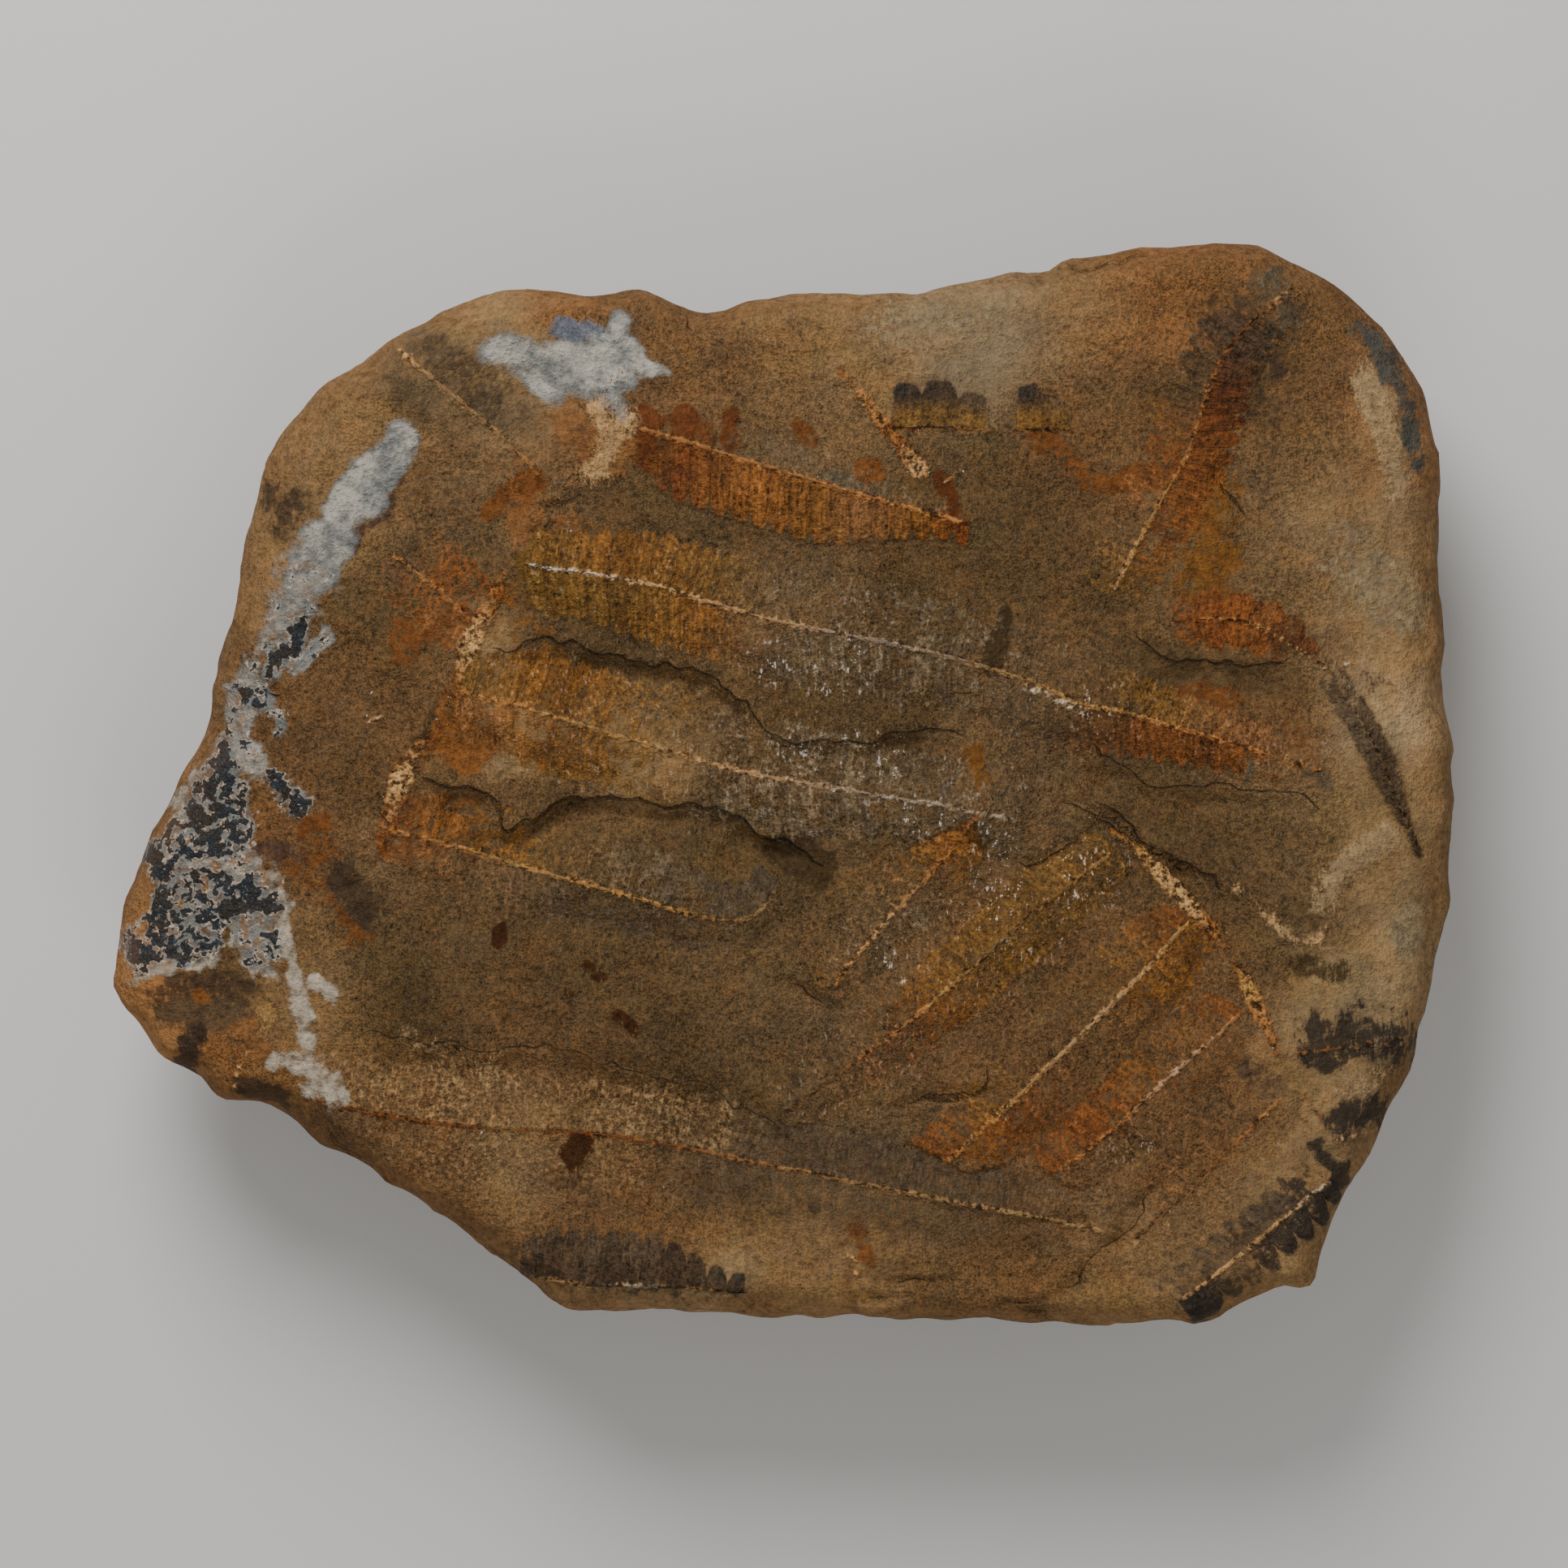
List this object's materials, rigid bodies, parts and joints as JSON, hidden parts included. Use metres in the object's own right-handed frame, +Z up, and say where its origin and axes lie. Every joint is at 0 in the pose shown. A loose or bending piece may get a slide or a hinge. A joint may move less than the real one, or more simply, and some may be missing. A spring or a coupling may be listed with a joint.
{
  "type": "fern fossil nodule",
  "caption": "Half of a split ironstone nodule, domed back down, with the ribbed pinnae of a fossil fern frond in low relief on its broken face.",
  "frame": {"origin": "under the middle of the stone, on the surface it rests on", "axes": "+Z up out of the fossil face, +X along the stone's length, +Y towards the edge at the top of the fossil"},
  "size_m": [0.165, 0.1333, 0.0333],
  "materials": {
    "ironstone": "matt, fine-grained, stained orange and black where the plant lies"
  },
  "bodies": {
    "root": {"fossil_nodule": "ironstone"}
  },
  "joints": []
}
